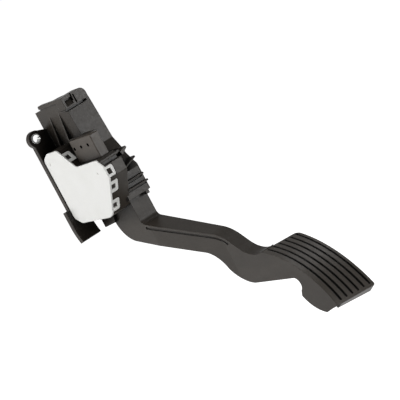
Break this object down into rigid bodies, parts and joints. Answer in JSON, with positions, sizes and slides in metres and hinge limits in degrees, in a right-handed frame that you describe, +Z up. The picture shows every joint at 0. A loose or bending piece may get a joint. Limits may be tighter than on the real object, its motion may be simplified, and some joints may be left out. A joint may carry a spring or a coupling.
{
  "type": "accelerator pedal",
  "caption": "Hanging accelerator pedal: ribbed housing with a clipped-on sensor cover and plug socket, and a sprung S-bent arm with a grooved pad.",
  "frame": {"origin": "on the mounting face, midway between the two bolt axes", "axes": "+X across the car towards the sensor cover, +Y from the bulkhead towards the driver, +Z up"},
  "size_m": [0.071, 0.2542, 0.2392],
  "materials": {
    "housing_plastic": "moulded, fine grain",
    "arm_plastic": "moulded, fine grain on the tread",
    "cover_plastic": "moulded, natural white",
    "zinc_steel": "zinc plated",
    "shaft_steel": "ground",
    "spring_steel": "drawn wire",
    "bush_bronze": "sintered",
    "acetal": "natural",
    "stop_rubber": "soft",
    "board_laminate": "solder resist",
    "component_black": "moulded",
    "tinned_brass": "tinned",
    "contact_alloy": "bright"
  },
  "bodies": {
    "housing": {"housing": "housing_plastic", "sensor_cover": "cover_plastic", "mounting_sleeves": "zinc_steel", "pivot_bush_inner": "bush_bronze", "pivot_bush_outer": "bush_bronze", "return_spring_outer": "spring_steel", "return_spring_inner": "spring_steel", "shoe_spring": "spring_steel", "friction_shoe": "acetal", "idle_stop_pad": "stop_rubber", "full_stop_pad": "stop_rubber", "sensor_board": "board_laminate", "board_components": "component_black", "board_screws": "shaft_steel", "terminal_pins": "tinned_brass"},
    "pedal": {"pedal_arm": "arm_plastic", "pivot_shaft": "shaft_steel", "shaft_clip": "spring_steel", "spring_seat": "acetal", "sensor_rotor": "acetal", "wiper_contacts": "contact_alloy"}
  },
  "joints": [
    {"name": "pedal_pivot", "type": "hinge", "parent": "housing", "child": "pedal", "pos_m": [0, 0.04, -0.057], "axis": [-1, 0, 0], "range_deg": [0, 16], "stiffness_Nm_per_rad": 14, "springref_deg": -11.46, "deforming": ["return_spring_outer", "return_spring_inner"]}
  ]
}
